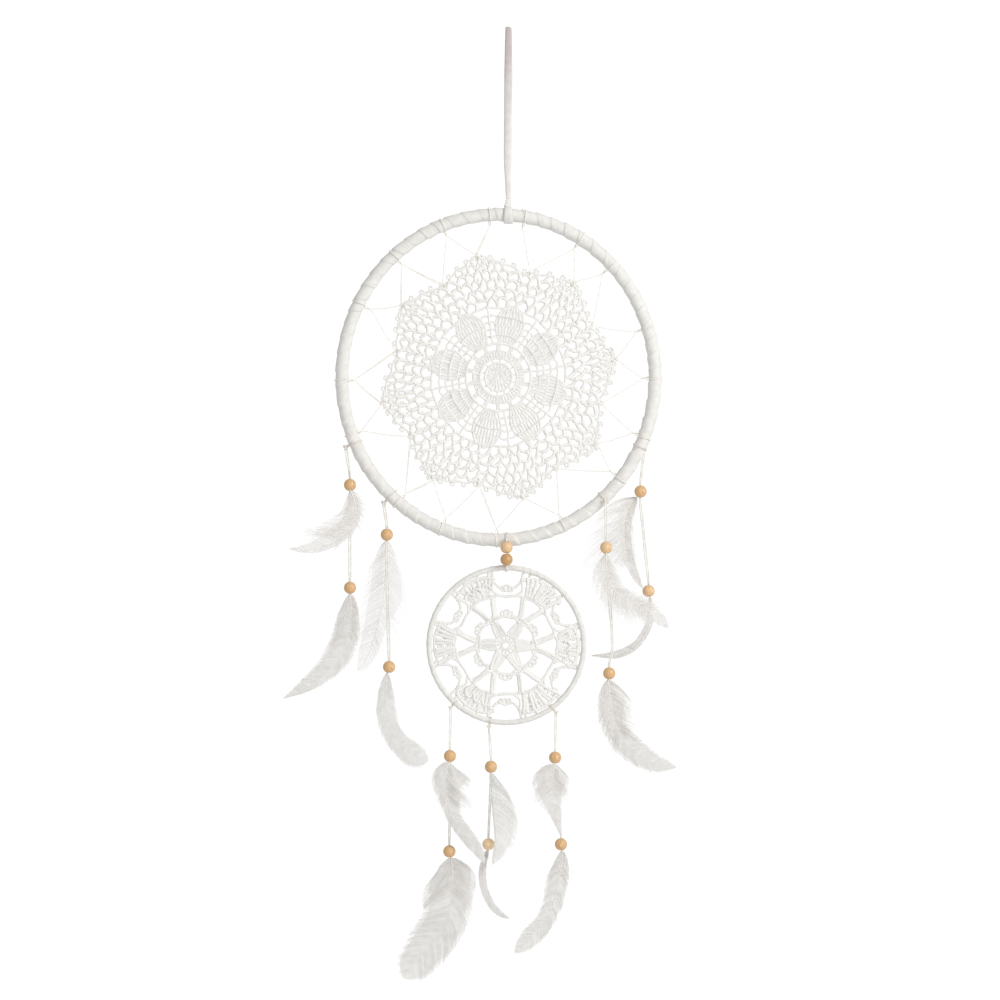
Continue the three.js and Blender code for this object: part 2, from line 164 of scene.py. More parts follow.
class Surface:
    """Faces gathered into one mesh."""

    def __init__(self):
        self.points, self.quads, self.tris, self.count = [], [], [], 0

    def add(self, points, quads=(), tris=()):
        self.points.append(np.asarray(points, float).reshape(-1, 3))
        if len(quads):
            self.quads.append(np.asarray(quads) + self.count)
        if len(tris):
            self.tris.append(np.asarray(tris) + self.count)
        self.count += len(self.points[-1])

    def grid(self, points, wrap=False):
        """A grid of rows by columns; wrap joins its last column to its first."""
        rows, columns = points.shape[:2]
        index = np.arange(rows * columns).reshape(rows, columns)
        ahead = np.roll(index, -1, axis=1) if wrap else index[:, 1:]
        here = index if wrap else index[:, :-1]
        quads = np.stack([here[:-1], ahead[:-1], ahead[1:], here[1:]], axis=-1)
        self.add(points, quads.reshape(-1, 4))

    def tube(self, line, radius, sides, up=None, flat=1.0):
        """A round or flattened tube along a line, with rounded ends."""
        tangent, side, across = frames(line, up)
        radius = np.broadcast_to(radius, len(line))[:, None, None]
        a = TAU * np.arange(sides) / sides
        ring = np.cos(a)[None, :, None] * side[:, None] + flat * np.sin(a)[None, :, None] * across[:, None]
        rings = line[:, None] + radius * ring
        start = self.count
        self.grid(rings, wrap=True)
        for i, sign in ((0, -1), (len(line) - 1, 1)):
            tip = line[i] + sign * tangent[i] * radius[i, 0] * 0.5
            k = np.arange(sides)
            first, second = (start + i * sides + np.stack([k, (k + 1) % sides]))[::-sign]
            tris = np.stack([first, np.full(sides, self.count), second], axis=1)
            self.add([tip], tris=tris - self.count)

    def yarn(self, line, radius, pitch, sides, up=None, phase=0.0, flat=1.0):
        """Two plies twisted round each other along a line, pressed flat across it where asked."""
        _, side, across = frames(line, up)
        turns = TAU * lengths(line) / pitch + phase
        for k in range(2):
            a = (turns + math.pi * k)[:, None]
            place = line + 0.48 * radius * (np.cos(a) * side + flat * np.sin(a) * across)
            self.tube(place, 0.56 * radius, sides, up, flat)

    def build(self, name, material, body, replaces=(), slot=None, at=(0, 0, 0)):
        """The piece, at its place, riding its body and standing in for the nodes that it replaces."""
        mesh = bpy.data.meshes.new(name)
        points = np.vstack(self.points)
        quads = np.vstack(self.quads) if self.quads else np.zeros((0, 4), int)
        tris = np.vstack(self.tris) if self.tris else np.zeros((0, 3), int)
        mesh.vertices.add(len(points))
        mesh.vertices.foreach_set("co", points.ravel())
        mesh.loops.add(quads.size + tris.size)
        mesh.loops.foreach_set("vertex_index", np.concatenate([quads.ravel(), tris.ravel()]))
        mesh.polygons.add(len(quads) + len(tris))
        starts = np.concatenate([np.arange(len(quads)) * 4, quads.size + np.arange(len(tris)) * 3])
        mesh.polygons.foreach_set("loop_start", starts)
        mesh.update(calc_edges=True)
        mesh.polygons.foreach_set("use_smooth", np.full(len(mesh.polygons), True))
        mesh.materials.append(material)
        piece = add_object(name, mesh)
        piece.location = at
        if body is not None:
            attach(piece, body)
        if replaces:
            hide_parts(*replaces)
        return piece


# ---- materials

def set_inputs(node, **values):
    """Constants on a node's own sockets, with an underscore for each space in their names."""
    for name, value in values.items():
        node.inputs[name.replace("_", " ")].default_value = value
    return node


def add_node(tree, kind, **values):
    return set_inputs(tree.nodes.new("ShaderNode" + kind), **values)


def join(source, out, target, into):
    source.id_data.links.new(source.outputs[out], target.inputs[into])


def finish(name, light, dark, roughness, sheen, scale, bump, bump_scale, bump_size):
    """A surface whose colour drifts between two tones, with a fine bump whose size is in mm."""
    material = bpy.data.materials.new(name)
    material.use_nodes = True
    tree = material.node_tree
    shader = tree.nodes["Principled BSDF"]
    set_inputs(shader, Roughness=roughness, Specular_IOR_Level=0.25, Sheen_Weight=sheen, Sheen_Roughness=0.6)
    place = add_node(tree, "TexCoord")
    drift = add_node(tree, "TexNoise", Scale=scale, Detail=4)
    join(place, "Object", drift, "Vector")
    ramp = add_node(tree, "ValToRGB")
    low, high = ramp.color_ramp.elements
    low.position, high.position = 0.35, 0.65
    low.color, high.color = (*dark, 1), (*light, 1)
    join(drift, "Fac", ramp, "Fac")
    join(ramp, "Color", shader, "Base Color")
    nap = add_node(tree, "TexNoise", Scale=bump_scale, Detail=3)
    join(place, "Object", nap, "Vector")
    relief = add_node(tree, "Bump", Strength=bump, Distance=bump_size * MM)
    join(nap, "Fac", relief, "Height")
    join(relief, "Normal", shader, "Normal")
    return material


def wood(name, light, dark):
    """Turned wood: rings distorted into grain, under a satin varnish."""
    material = finish(name, light, dark, 0.42, 0.0, 700, 0.15, 1800, 0.05)
    tree = material.node_tree
    set_inputs(tree.nodes["Principled BSDF"], Specular_IOR_Level=0.45, Coat_Weight=0.15, Coat_Roughness=0.3)
    grain = add_node(tree, "TexWave", Scale=260, Distortion=5, Detail=3, Detail_Scale=1.5)
    join(add_node(tree, "TexCoord"), "Object", grain, "Vector")
    ramp = next(n for n in tree.nodes if n.type == "VALTORGB")
    join(grain, "Fac", ramp, "Fac")
    low, high = ramp.color_ramp.elements
    low.position, high.position = 0.05, 0.75
    return material


def paint_shade_towards_top(material, low, high, shade):
    """Painted shade: darken a material towards a height."""
    tree = material.node_tree
    shader = tree.nodes["Principled BSDF"]
    colour = shader.inputs["Base Color"].links[0].from_socket
    split = add_node(tree, "SeparateXYZ")
    join(add_node(tree, "TexCoord"), "Object", split, "Vector")
    spread = add_node(tree, "MapRange", From_Min=low, From_Max=high)
    join(split, "Z", spread, "Value")
    mix = add_node(tree, "MixRGB", Color2=(*shade, 1))
    mix.blend_type = "MULTIPLY"
    join(spread, "Result", mix, "Fac")
    tree.links.new(colour, mix.inputs["Color1"])
    join(mix, "Color", shader, "Base Color")


def twisted(name, light, dark):
    """Twisted thread."""
    return finish(name, light, dark, 0.8, 0.1, 600, 0.3, 5000, 0.06)


def barbed(name, light, dark, roughness, through, between):
    """A feather's barbs: light comes through them, and what is behind shows between them."""
    material = finish(name, light, dark, roughness, 0.1, 300, 0.15, 4000, 0.04)
    tree = material.node_tree
    shader = tree.nodes["Principled BSDF"]
    behind = add_node(tree, "BsdfTranslucent")
    tree.links.new(shader.inputs["Base Color"].links[0].from_socket, behind.inputs["Color"])
    lit = add_node(tree, "MixShader", Fac=through)
    join(shader, "BSDF", lit, 1)
    join(behind, "BSDF", lit, 2)
    loose = add_node(tree, "MixShader", Fac=between)
    join(lit, "Shader", loose, 1)
    join(add_node(tree, "BsdfTransparent"), "BSDF", loose, 2)
    join(loose, "Shader", tree.nodes["Material Output"], "Surface")
    return material


SUEDE = finish("suede", (0.775, 0.758, 0.725), (0.71, 0.693, 0.66), 0.95, 0.15, 260, 0.4, 2600, 0.15)
RIBBON = finish("ribbon", (0.77, 0.745, 0.715), (0.69, 0.665, 0.64), 0.85, 0.15, 220, 0.3, 3000, 0.12)
# painted shade: the hanging strip darkens towards the top, where it folds back over its hook
paint_shade_towards_top(RIBBON, -0.055, -0.008, (0.70, 0.63, 0.64))
COTTON = finish("cotton", (0.865, 0.85, 0.82), (0.82, 0.805, 0.775), 0.95, 0.1, 700, 0.35, 5000, 0.08)
THREAD = twisted("waxed_thread", (0.87, 0.845, 0.79), (0.80, 0.77, 0.71))
KNOTTED = twisted("knotted_thread", (0.83, 0.77, 0.70), (0.74, 0.67, 0.60))
# the lacing thread's own pale tone, made paler still as painted light against the shade that falls on its ties
# round the hoop
LACING_PAINTED_LIGHTER = twisted("lacing_thread", (0.93, 0.90, 0.835), (0.88, 0.85, 0.785))
DOWN = barbed("feather", (0.90, 0.885, 0.865), (0.85, 0.835, 0.81), 0.85, 0.3, 0.10)
FLUFF = barbed("fluff", (0.95, 0.935, 0.915), (0.91, 0.895, 0.87), 0.9, 0.45, 0.42)
PALE = barbed("pale_feather", (0.93, 0.92, 0.905), (0.89, 0.88, 0.86), 0.85, 0.38, 0.10)
FAINT = barbed("faint_fluff", (0.95, 0.935, 0.915), (0.91, 0.895, 0.87), 0.9, 0.45, 0.62)
QUILL = finish("quill", (0.85, 0.83, 0.80), (0.79, 0.77, 0.74), 0.5, 0.0, 400, 0.15, 2500, 0.05)
# the bead woods: darker wood that carries painted shade, and a paler copy that is painted light
BEAD_WOODS_AND_PAINTED_LIGHT = [
    wood("bead_wood", (0.72, 0.46, 0.23), (0.58, 0.345, 0.155)),
    wood("pale_bead_wood", (0.78, 0.54, 0.31), (0.66, 0.43, 0.22)),
    # darker wood with painted shade: the link's lower bead, which sits in the shadow of the bead above
    wood("dark_bead_wood_and_painted_shade", (0.60, 0.36, 0.16), (0.46, 0.255, 0.105)),
    # painted light: a paler copy of the bead wood for f's lower bead, making up for the shadow that the feathers
    # cast on it
    wood("painted_light_bead_wood", (0.93, 0.70, 0.44), (0.82, 0.58, 0.34)),
]
RATTAN = wood("rattan", (0.56, 0.40, 0.22), (0.44, 0.30, 0.15))
STEEL = finish("steel_wire", (0.55, 0.55, 0.57), (0.45, 0.45, 0.47), 0.35, 0.0, 800, 0.2, 3000, 0.02)
set_inputs(STEEL.node_tree.nodes["Principled BSDF"], Metallic=1.0)


# ---- camera, light and floor

def look_from(place, target, thing):
    thing.location = place
    thing.rotation_mode = "QUATERNION"
    thing.rotation_quaternion = (Vector(target) - Vector(place)).to_track_quat("-Z", "Y")


def camera():
    data = bpy.data.cameras.new("camera")
    data.sensor_width = SENSOR
    data.lens = SENSOR * CAMERA_AWAY / VIEW_WIDTH
    data.clip_start = 0.1
    data.clip_end = 20
    eye = add_object("camera", data)
    look_from(VIEW_CENTRE - Vector((0, CAMERA_AWAY, 0)), VIEW_CENTRE, eye)
    bpy.context.scene.camera = eye


def softbox(name, place, size, power):
    data = bpy.data.lights.new(name, "AREA")
    data.size = size
    data.energy = power
    look_from(place, VIEW_CENTRE, add_object(name, data))


def studio():
    """A white sky that lights less than it shows, a key from the upper right, a low fill and a pale floor."""
    scene = bpy.context.scene
    scene.view_settings.view_transform = "Standard"
    world = bpy.data.worlds.new("studio")
    scene.world = world
    world.use_nodes = True
    tree = world.node_tree
    tree.nodes.clear()
    white = (1, 1, 1, 1)
    mix = add_node(tree, "MixShader")
    join(add_node(tree, "LightPath"), "Is Camera Ray", mix, "Fac")
    join(add_node(tree, "Background", Color=white, Strength=0.60), "Background", mix, 1)
    join(add_node(tree, "Background", Color=white, Strength=1.05), "Background", mix, 2)
    join(mix, "Shader", add_node(tree, "OutputWorld"), "Surface")
    softbox("key", (1.6, -1.5, 0.7), 1.1, 34)
    softbox("fill", (-0.5, -2.4, -0.72), 1.0, 5.6)

    turns = np.linspace(0, TAU, 97)[:-1]
    rings = [xyz(r * np.cos(turns), r * np.sin(turns), 0 * turns) for r in (0.02, 0.5, 1.0, 1.5)]
    floor = Surface()
    floor.grid(np.stack(rings) + FLOOR_HEIGHT * UP, wrap=True)
    floor.add(rings[0][::-1] + FLOOR_HEIGHT * UP)
    pale = finish("pale_floor", (0.93, 0.93, 0.93), (0.91, 0.91, 0.91), 0.9, 0.0, 3, 0.05, 40, 0.5)
    floor.build("floor", pale, None)


camera()
studio()


# ---- strands: cords, knots, beads

# Each strand as in the CAD: hoop, angle of its knot, turn of the knot to the front (-) or back (+),
# the upper bead from the knot, the lower bead from the upper one, and a bend in between, in mm.
STRANDS = {
    "a": (LARGE, 203.9, 0, (2.7, -25), (0, -68), None),
    "b": (LARGE, 226.7, 0, (1.9, -21), (1.5, -87.5), None),
    "c": (LARGE, 312, -70, (0.2, -31), (2, -83), (4, -61)),
    "d": (LARGE, 334.6, 60, (-2.5, -28), (5.3, -66), None),
    "e": (SMALL, 228.3, 0, (-0.5, -32), (-0.4, -63), None),
    "f": (SMALL, 258.1, 0, (1.2, -26.3), (-1.6, -51.2), None),
    "g": (SMALL, 306.4, 0, (-0.6, -29.8), (3.9, -57.3), None),
}
ONE_PIECE = "df"  # these swing whole; the others have a tail below the upper bead
UPPER_TONES, LOWER_TONES = {"c": 1}, {"d": 1, "f": 3}  # beads whose wood is not the first of the bead woods; f's lower bead takes the paler copy, painted light against the feathers' shadow
KNOT_OUT = 2.35 * MM
# overall width of each pair of threads
CORD_WIDTH = {key: width * MM for key, width in zip("abcdefg", (2.6, 2.8, 2.4, 2.4, 2.0, 2.0, 2.0))}


def knot_place(hoop, degrees, turn, distance):
    outward, _ = hoop_axes(hoop, degrees)
    a = turn * DEGREE
    return hoop_line(hoop, degrees) + distance * (math.cos(a) * outward + math.sin(a) * BACK)


def in_plane(x, z):
    return np.array([x, 0, z]) * MM


def strand_points(key):
    """(lump of the knot, upper bead, lower bead) of a strand."""
    hoop, degrees, turn, upper, lower, _ = STRANDS[key]
    lump = knot_place(hoop, degrees, turn, hoop["tube"] + KNOT_OUT)
    first = lump + in_plane(*upper)
    return lump, first, first + in_plane(*lower)


def cord_route(key):
    """From the knot through the upper bead and into the lower one."""
    lump, upper, lower = strand_points(key)
    bend = STRANDS[key][5]
    points = [lump - 1.2 * MM * UP, upper + 6 * MM * UP, upper - 3.8 * MM * UP, upper - 8 * MM * UP]
    if bend:
        points.append(upper + in_plane(*bend))
    points += [lower + 6 * MM * UP, lower - 3.4 * MM * UP]
    return smooth(points, 0.9 * MM)


def strand_cord(key):
    """The doubled thread of a strand; its two threads part a little between the beads."""
    route = cord_route(key)
    _, upper, lower = strand_points(key)
    body = f"strand_{key}"
    width = CORD_WIDTH[key]
    away = np.minimum(np.abs(route[:, 2] - upper[2]), np.abs(route[:, 2] - lower[2]))
    open_up = np.clip((away - 4 * MM) / (8 * MM), 0, 1) * (1 + wander(len(route), 8, 0.18))
    apart = (0.16 + 0.10 * open_up) * width
    lean = wander(len(route), 7, 0.35)
    cord = Surface()
    for sign in (-1, 1):
        line = route + xyz(np.cos(lean), np.sin(lean), 0 * lean) * apart[:, None] * sign
        line[:, 0] += wander(len(route), 14, 0.05) * MM
        cord.yarn(line, 0.24 * width, 2.0 * MM, 6, BACK)
    one = key in ONE_PIECE
    nodes = [f"{body}_cord"] if one else [f"{body}_cord_upper", f"{body}_cord_lower"]
    piece = cord.build(f"{body}_thread", THREAD, body if one else None)
    if not one:
        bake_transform(piece)
    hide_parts(*nodes)


def strand_knot(key):
    """Turns of thread round the hoop, and the knot that the cord leaves."""
    hoop, degrees, turn = STRANDS[key][:3]
    outward, along = hoop_axes(hoop, degrees)
    middle = hoop_line(hoop, degrees)
    knot = Surface()
    a = np.linspace(0, TAU * 1.6, 50)
    radius = hoop["tube"] + 0.3 * MM + 0.08 * MM * np.sin(3 * a)
    shift = np.linspace(-0.5, 0.5, len(a)) * MM
    line = round_line(middle, radius[:, None], a, outward)
    knot.yarn(line + shift[:, None] * along, 0.42 * MM, 2.0 * MM, 6)
    lump = knot_place(hoop, degrees, turn, hoop["tube"] + KNOT_OUT)
    t = np.linspace(0, TAU, 60)
    size = 0.60 * MM if hoop is LARGE else 0.46 * MM
    trefoil = xyz(np.sin(t) + 1.5 * np.sin(2 * t), -0.9 * np.sin(3 * t), np.cos(t) - 1.5 * np.cos(2 * t))
    knot.tube(lump + trefoil * size, 1.05 * size, 8)
    start = knot_place(hoop, degrees, turn, hoop["tube"] + 0.2 * MM)
    knot.tube(smooth([start, (start + lump) / 2, lump], 0.5 * MM), 0.75 * MM, 8)
    if key == "d":  # a cut end sticks out of this one
        stub = [lump + np.array([-0.4, -0.4, -1.4]) * MM, lump + np.array([-1.4, -0.6, -4.6]) * MM]
        knot.yarn(smooth([lump] + stub, 0.5 * MM), 0.5 * MM, 2.0 * MM, 6)
    body = "small_hoop" if hoop is SMALL else "large_hoop"
    knot.build(f"strand_{key}_tie", KNOTTED, body, [f"strand_{key}_knot"], "thread")


def bead_surface():
    """A turned bead, its bore's rims rounded over, its axis along Z."""
    radius, bore, rim = 4.08 * MM, 1.35 * MM, 0.32 * MM
    open_angle = math.asin(bore * 1.16 / radius)
    arc = np.linspace(math.pi / 2 - open_angle, -math.pi / 2 + open_angle, 22)
    ball = np.stack([radius * np.cos(arc), radius * np.sin(arc)], axis=-1)
    top = ball[0, 1]
    lip = np.array([[bore + rim * 0.45, top + 0.02 * MM], [bore + rim * 0.1, top - rim * 0.5]])
    inner = np.linspace(top - rim * 1.6, -top + rim * 1.6, 7)
    hole = np.stack([np.full(7, bore), inner], axis=-1)
    profile = np.vstack([lip, hole, lip[::-1] * [1, -1], ball[::-1], lip[:1]])
    turns = np.linspace(0, TAU, 41)[:-1]
    out, height = profile[:, :1], np.repeat(profile[:, 1:], len(turns), axis=1)
    bead = Surface()
    bead.grid(xyz(out * np.cos(turns), out * np.sin(turns), height), wrap=True)
    return bead


def bead(name, place, body, node, tone):
    piece = bead_surface().build(name, BEAD_WOODS_AND_PAINTED_LIGHT[tone], None, at=place)
    piece.rotation_euler = rng.uniform(-0.16, 0.16, 3)
    piece.rotation_euler.z = rng.uniform(0, 6.28)
    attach(piece, body)
    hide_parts(node)


for key in STRANDS:
    strand_cord(key)
for key in STRANDS:
    strand_knot(key)
    _, upper, lower = strand_points(key)
    tail = f"strand_{key}" if key in ONE_PIECE else f"strand_{key}_tail"
    bead(f"strand_{key}_ball_upper", upper, f"strand_{key}", f"strand_{key}_bead_upper", UPPER_TONES.get(key, 0))
    bead(f"strand_{key}_ball_lower", lower, tail, f"strand_{key}_bead_lower", LOWER_TONES.get(key, 0))


# ---- wound hoops

def wound_tube(hoop, turns, lift, low, columns, around, slack):
    """A strip wound round a hoop: each turn rides up on the last one and ends in a soft, slanting step."""
    theta = np.linspace(0, 360, columns + 1)[:-1]
    phi = TAU * np.arange(around) / around
    waves = [(k, rng.normal(0, slack) / math.sqrt(k), rng.uniform(0, 6.28)) for k in range(2, 17)]
    drift = sum(size * np.sin(k * theta * DEGREE + start) for k, size, start in waves)
    phase = turns * theta[:, None] / 360 + phi[None] / TAU + drift[:, None]
    phase += 0.03 * np.sin(phi[None] * 2 + theta[:, None] * 0.21)
    turn = np.floor(phase).astype(int) % turns
    share = phase % 1.0
    step = np.where(share < 0.90, share / 0.90, (1 - share) / 0.10)
    step = step * step * (3 - 2 * step) * 0.6 + step * 0.4
    heights, bends = rng.uniform(0.35, 1.35, turns), rng.uniform(0, 6.28, turns)
    crease = np.sin(TAU * (2.2 * share + phi[None] / 5) + bends[turn])
    crease = np.maximum(crease, 0.2) * np.sin(phi[None] * 1.5 + bends[turn]) ** 2
    crease = crease * rng.uniform(0, 0.5, turns)[turn]
    radius = low + lift * (heights[turn] * step - crease)
    outward, _ = hoop_axes(hoop, theta)
    ring = np.cos(phi)[None, :, None] * outward[:, None] - np.sin(phi)[None, :, None] * BACK
    points = hoop_line(hoop, theta)[:, None] + radius[..., None] * ring
    tube = Surface()
    tube.grid(np.concatenate([points, points[:1]])[::-1], wrap=True)
    return tube


for name, *numbers in (("large_hoop", LARGE, 66, 0.50 * MM, 4.1 * MM, 1920, 44, 0.16),
                       ("small_hoop", SMALL, 52, 0.22 * MM, 1.68 * MM, 1200, 24, 0.14)):
    wound_tube(*numbers).build(f"{name}_winding", SUEDE, name, [f"{name}_wrap"], "wrap")


# ---- crochet

def polar(hoop, radius, degrees, lift):
    """A point of a doily from its own middle, squeezed as its hoop is."""
    a = np.asarray(degrees) * DEGREE
    squeeze = hoop["rx"] / hoop["rz"]
    radius = np.asarray(radius) * MM
    return hoop["at"] + xyz(radius * np.cos(a) * squeeze, 0 * a + lift * MM, radius * np.sin(a))


class Crochet(Surface):
    """Stitches of cotton yarn in the plane of a hoop, in mm and degrees about its middle."""

    def __init__(self, hoop, yarn):
        super().__init__()
        self.hoop, self.size = hoop, yarn

    def stitch(self, radii, degrees, size=1.0, lift=0.0, closed=False, jitter=0.12):
        radii = np.asarray(radii, float) + rng.normal(0, jitter, len(radii))
        degrees = np.asarray(degrees, float) + rng.normal(0, jitter, len(radii)) / np.maximum(radii, 8) / DEGREE
        lifts = lift + rng.normal(0, 0.12, len(radii))
        line = smooth(polar(self.hoop, radii, degrees, lifts), 0.62 * MM, closed)
        self.yarn(line, self.size * size * MM, 2.6 * MM, 5, BACK, rng.uniform(0, 6.28), 0.5)

    def ring(self, radius, count, size, lift=0.0):
        """A closed chain that dips between its stitches."""
        dip = 0.15
        degrees = np.linspace(0, 360, count * 2 + 1)[:-1]
        radii = radius + dip * np.where(np.arange(count * 2) % 2, 1, -1)
        self.stitch(radii, degrees, size, lift, closed=True, jitter=0.05)

    def posts(self, inner, outer, count, first, size=1.0):
        """Upright stitches all round between two radii."""
        for k in range(count):
            a = first + 360 * k / count
            directions = [a, a + rng.normal(0, 0.6), a + rng.normal(0, 0.5)]
            self.stitch([inner, (inner + outer) / 2, outer], directions, size)

    def knob(self, radius, degrees, size, lift=0.0):
        """A picot: a tiny closed loop of yarn."""
        t = np.linspace(0, TAU, 9)[:-1]
        around = degrees + size * np.sin(t) / radius / DEGREE
        self.stitch(radius + size * np.cos(t), around, 0.8, lift, closed=True, jitter=0.04)


# The large doily's star: where its points are, in degrees, and how far out it reaches, in mm.
TIPS = [8.5, 50, 100.5, 144.5, 192, 234, 282, 325]
TIP_RADIUS, VALLEY_RADIUS = 80.8, 71.2


def tipness(degrees):
    """1 along a point of the star, 0 half way to the next."""
    ends = np.array([TIPS[-1] - 360] + TIPS + [TIPS[0] + 360])
    turn = np.asarray(degrees, float) % 360
    after = np.clip(np.searchsorted(ends, turn), 1, len(ends) - 1)
    share = (turn - ends[after - 1]) / (ends[after] - ends[after - 1])
    return np.abs(2 * share - 1)


def star_edge(degrees):
    return VALLEY_RADIUS + (TIP_RADIUS - VALLEY_RADIUS) * tipness(degrees)


def net_row(lace, low, high, degrees, size, lift=0.0):
    """Arches between the given directions, each from one round up to the next."""
    for a, b in zip(degrees[:-1], degrees[1:]):
        at = a + (b - a) * np.array([-0.06, 0.10, 0.5, 0.90, 1.06]) + rng.normal(0, 0.09, 5) * (b - a)
        rise = np.array([0.0, 0.62, 1.0, 0.62, 0.0])
        low_here, high_here = low(at), high(at)
        lace.stitch(low_here + (high_here - low_here) * rise, at, size, lift, jitter=0.32)


def spread_out(count, start, tight):
    """Directions all round, closer together towards the tips of the star."""
    degrees = start + np.linspace(0, 360, count + 1)
    return degrees - tight * np.sin(8 * (degrees - 9) * DEGREE) / 8 / DEGREE


def large_doily():
    """Rounds of a solid middle, eight petals, a net that fills out the points, and a picot edge."""
    lace, petals, edging = Crochet(LARGE, 1.08), Crochet(LARGE, 1.04), Crochet(LARGE, 1.04)
    lace.ring(1.5, 6, 0.95)
    lace.posts(2.2, 5.2, 12, 0, 1.0)
    lace.ring(5.6, 16, 0.95)
    lace.posts(6.2, 8.6, 20, 5, 1.0)
    lace.ring(9.2, 26, 0.95, lift=-0.3)
    for k in range(14):
        a = 360 / 14 * k + 8
        lace.stitch([9.9, 11.0, 11.9], [a, a + 1, a], 0.62)
    lace.ring(12.6, 34, 0.95, lift=-0.2)
    lace.posts(13.2, 16.6, 46, 0, 1.1)
    lace.ring(17.2, 40, 0.95)
    for k in range(14):
        a = 360 / 14 * (k + 0.5)
        for side in (-1, 1):
            lace.stitch([17.6, 19.6, 21.4], a + side * np.array([2.7, 1.5, 2.6]), 0.92)
    lace.ring(22.2, 44, 1.0, lift=-0.15)

    # petals: rounds of long stitches that spread and close again, half way between the tips
    rounds = [
        (22.4, 28.2, 4.2, 7.2, 6), (28.0, 34.2, 7.2, 9.8, 8),
        (34.0, 40.6, 9.8, 9.4, 9), (40.4, 46.6, 9.0, 5.0, 7),
    ]
    for k in range(8):
        middle = 31.5 + 45 * k + rng.normal(0, 0.5)
        for i, (inner, outer, half_in, half_out, count) in enumerate(rounds):
            for spread in np.linspace(-1, 1, count + 1):
                first = middle + half_in * spread / inner / DEGREE
                last = middle + half_out * spread / outer / DEGREE
                radii = [inner, (inner + outer) / 2, outer]
                petals.stitch(radii, [first, (first + last) / 2, last], 1.06, 0.18 * (-1) ** i)
        for radius, half in ((28.1, 7.0), (34.1, 9.6), (40.3, 9.2)):
            petals.stitch(np.full(6, radius), middle + np.linspace(-1, 1, 6) * half / radius / DEGREE, 0.8, -0.35)
        crown = middle + np.linspace(-1, 1, 7) * np.array([1.25, 1, 1, 1, 1, 1, 1.25]) * 4.6 / 46 / DEGREE
        petals.stitch([44.4, 46.2, 47.3, 47.7, 47.3, 46.2, 44.4], crown, 1.0, -0.1)
        # ladder of holes between this petal and the next
        gap = middle + 22.5
        petals.stitch([22.8, 28, 33, 38, 43, 47], gap + rng.normal(0, 0.5, 6), 0.85, -0.2)
        for radius, width in ((26.6, 3.6), (31.2, 3.2), (35.8, 3.6), (40.4, 5.6)):
            for side in (-1, 1):
                a = gap + side * np.linspace(0, 1, 3) * width / radius / DEGREE
                petals.stitch(radius + np.array([0, 0.9, -0.2]), a, 0.85, 0.1 * side)
        for side in (-1, 1):
            petals.stitch([46.9, 46.2, 46.0, 45.8, 45.2], gap + side * np.array([0, 4.5, 9.0, 13.0, 15.6]))

    def wavy(base, rise):
        return lambda a: base + rise * (1 - tipness(a))

    def capped(base, rise):
        return lambda a: np.minimum(base + 0 * a, star_edge(a) + rise)

    # the net: four rounds all the way, then two more that fill the tips
    levels = [wavy(46.0, 1.6), wavy(52.6, 0.4), wavy(59.2, -0.6), wavy(65.6, -1.2), wavy(72.0, -1.4)]
    for i, (count, tight) in enumerate(((44, 0.0), (50, 0.08), (58, 0.14), (66, 0.18))):
        degrees = spread_out(count, 9 + (180 / count) * (i % 2), tight)
        net_row(lace, levels[i], levels[i + 1], degrees, 1.34, 0.15 * (-1) ** i)
    for tip in TIPS:
        net_row(lace, wavy(71.6, 0), capped(76.4, 0.8), tip + np.linspace(-12.5, 12.5, 8), 1.08)
        net_row(lace, wavy(76.0, 0), capped(80.4, 0.6), tip + np.linspace(-5.6, 5.6, 5), 1.05, 0.2)
        for radius, half, count in ((67.2, 2.6, 2), (73.2, 3.6, 3)):
            for spread in np.linspace(-1, 1, count):
                a = tip + half * spread / radius / DEGREE
                lace.stitch([radius, radius + 2.2, radius + 4.4], [a, a + rng.normal(0, 0.5), a], 0.85)
        for offset, rise in ((0, 1.2), (-2.2, 0.6), (2.2, 0.6)):
            edging.knob(star_edge(tip + offset) + rise, tip + offset, 0.9)
    ends = TIPS + [TIPS[0] + 360]
    for a, b in zip(ends[:-1], ends[1:]):
        for share in np.linspace(0, 1, 9)[1:-1]:
            degrees = a + (b - a) * share + rng.normal(0, 0.3)
            edging.knob(star_edge(degrees) + 1.0, degrees, 1.3)
    degrees = np.linspace(0, 360, 145)[:-1]
    edging.stitch(star_edge(degrees) - 0.6 + 0.5 * np.sin(degrees * 36 * DEGREE), degrees, 0.9, closed=True)
    piece = lace.build("large_doily_lace", COTTON, "large_hoop", ["large_doily"], "crochet")
    extra = [petals.build("large_doily_petals", COTTON, "large_hoop", slot="crochet"),
             edging.build("large_doily_picots", COTTON, "large_hoop", slot="crochet")]


